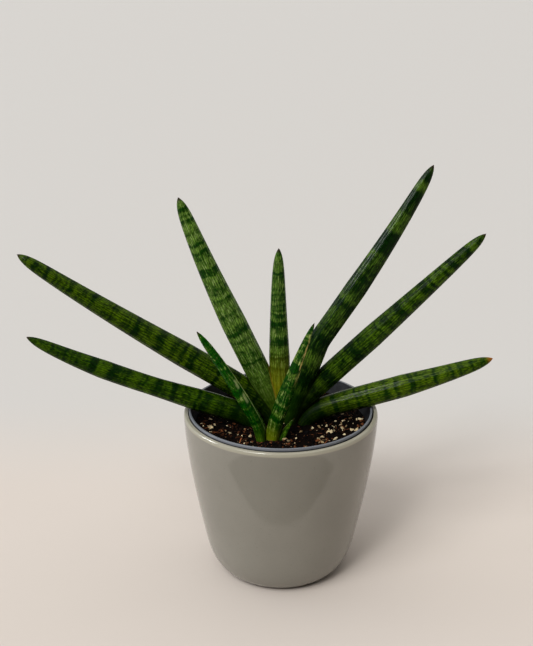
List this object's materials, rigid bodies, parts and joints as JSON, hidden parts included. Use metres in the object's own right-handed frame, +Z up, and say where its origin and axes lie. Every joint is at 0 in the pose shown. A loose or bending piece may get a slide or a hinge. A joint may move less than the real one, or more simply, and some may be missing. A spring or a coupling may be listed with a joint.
{
  "type": "potted cylindrical snake plant",
  "caption": "Cylindrical snake plant with a flat fan of stout round leaves and a small offshoot, in a grower's pot inside a glazed cover pot.",
  "frame": {"origin": "on the table, at the middle of the cover pot's flat foot", "axes": "+Z up, +X to the right along the fan of leaves as seen from the front, -Y toward the viewer and the offshoot"},
  "size_m": [0.3525, 0.1478, 0.3187],
  "materials": {
    "taupe_glaze": "smooth glossy taupe-grey glaze, lighter at the lip",
    "charcoal_plastic": "dull dark charcoal moulded plastic",
    "potting_mix": "dark crumbly potting mix with bark fibres and pale perlite grains",
    "rhizome_skin": "dull orange-tan rhizome skin, under the soil",
    "fan_leaf": "waxy dark green leaf skin with irregular lighter cross-bands",
    "offshoot_leaf": "waxy mid-green young leaf skin with yellow base and thin pale margins"
  },
  "bodies": {
    "root": {"cover_pot": "taupe_glaze", "nursery_pot": "charcoal_plastic", "potting_mix": "potting_mix", "rhizome": "rhizome_skin", "leaf_centre": "fan_leaf", "leaf_tall_left": "fan_leaf", "leaf_tall_right": "fan_leaf", "leaf_mid_left": "fan_leaf", "leaf_mid_right": "fan_leaf", "leaf_low_left": "fan_leaf", "leaf_low_right": "fan_leaf", "offshoot_leaf_left": "offshoot_leaf", "offshoot_leaf_right": "offshoot_leaf", "offshoot_sheath_leaf": "offshoot_leaf"}
  },
  "joints": []
}
